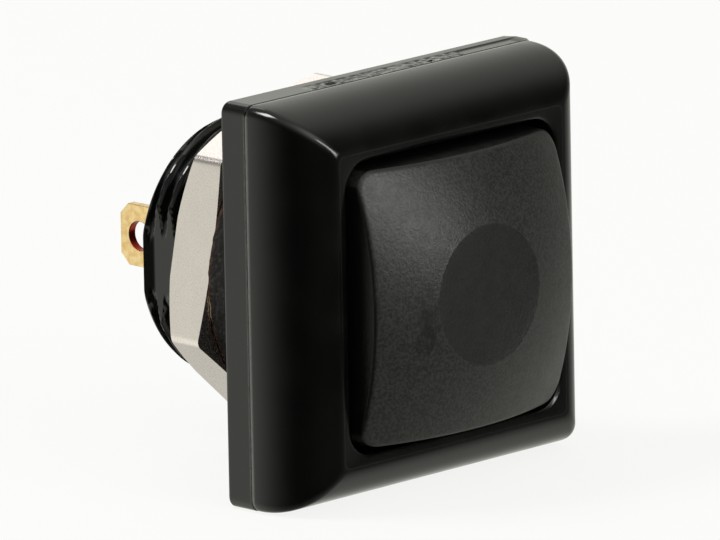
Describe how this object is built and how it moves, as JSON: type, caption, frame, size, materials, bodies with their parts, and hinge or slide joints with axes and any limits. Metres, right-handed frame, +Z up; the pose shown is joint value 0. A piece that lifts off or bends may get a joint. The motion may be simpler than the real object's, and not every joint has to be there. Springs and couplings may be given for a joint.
{
  "type": "momentary pushbutton switch",
  "caption": "Panel-mounting momentary pushbutton with a square domed cap in a square frame, a threaded bushing with gasket and hexagon nut, and solder tabs with eyes.",
  "frame": {"origin": "centre of the flange's rear face, which seats on the panel, on the bushing's axis", "axes": "+Y runs along the bushing from the front to the rear, so the cap faces -Y; +X is right as seen from the front and +Z is up"},
  "size_m": [0.018, 0.0208, 0.018],
  "materials": {
    "black_moulding": "satin gloss",
    "cap_moulding": "fine matt grain",
    "inner_moulding": "plain moulded",
    "sponge_rubber": "open cut cells",
    "seal_rubber": "smooth",
    "resin": "poured, glossy",
    "nickel_plate": "nickel-plated, satin",
    "gold_plate": "gold-plated, satin",
    "silver_contact": "silver alloy",
    "silvered_copper": "silver-plated copper",
    "spring_steel": "drawn wire"
  },
  "bodies": {
    "switch_body": {"housing": "black_moulding", "front_frame": "black_moulding", "contact_base": "inner_moulding", "potting_seal": "resin", "left_terminal": "gold_plate", "right_terminal": "gold_plate", "left_fixed_contact": "silver_contact", "right_fixed_contact": "silver_contact", "return_spring": "spring_steel", "panel_gasket": "sponge_rubber", "hex_nut": "nickel_plate"},
    "button": {"button_cap": "cap_moulding", "plunger": "inner_moulding", "plunger_o_ring": "seal_rubber", "contact_spring": "spring_steel", "bridge_clip": "spring_steel"},
    "bridge": {"contact_bridge": "silvered_copper", "left_moving_contact": "silver_contact", "right_moving_contact": "silver_contact"}
  },
  "joints": [
    {"name": "button_press", "type": "slide", "parent": "switch_body", "child": "button", "axis": [0, 1, 0], "range_m": [0, 0.0015], "stiffness_N_per_m": 1300, "springref_m": -0.0015, "deforming": ["return_spring"]},
    {"name": "bridge_slide", "type": "slide", "parent": "button", "child": "bridge", "axis": [0, -1, 0], "range_m": [0, 0.00053], "deforming": ["contact_spring"]}
  ],
  "couplings": [
    {"joint": "bridge_slide", "follows": "button_press", "ratio": 0.3533}
  ]
}
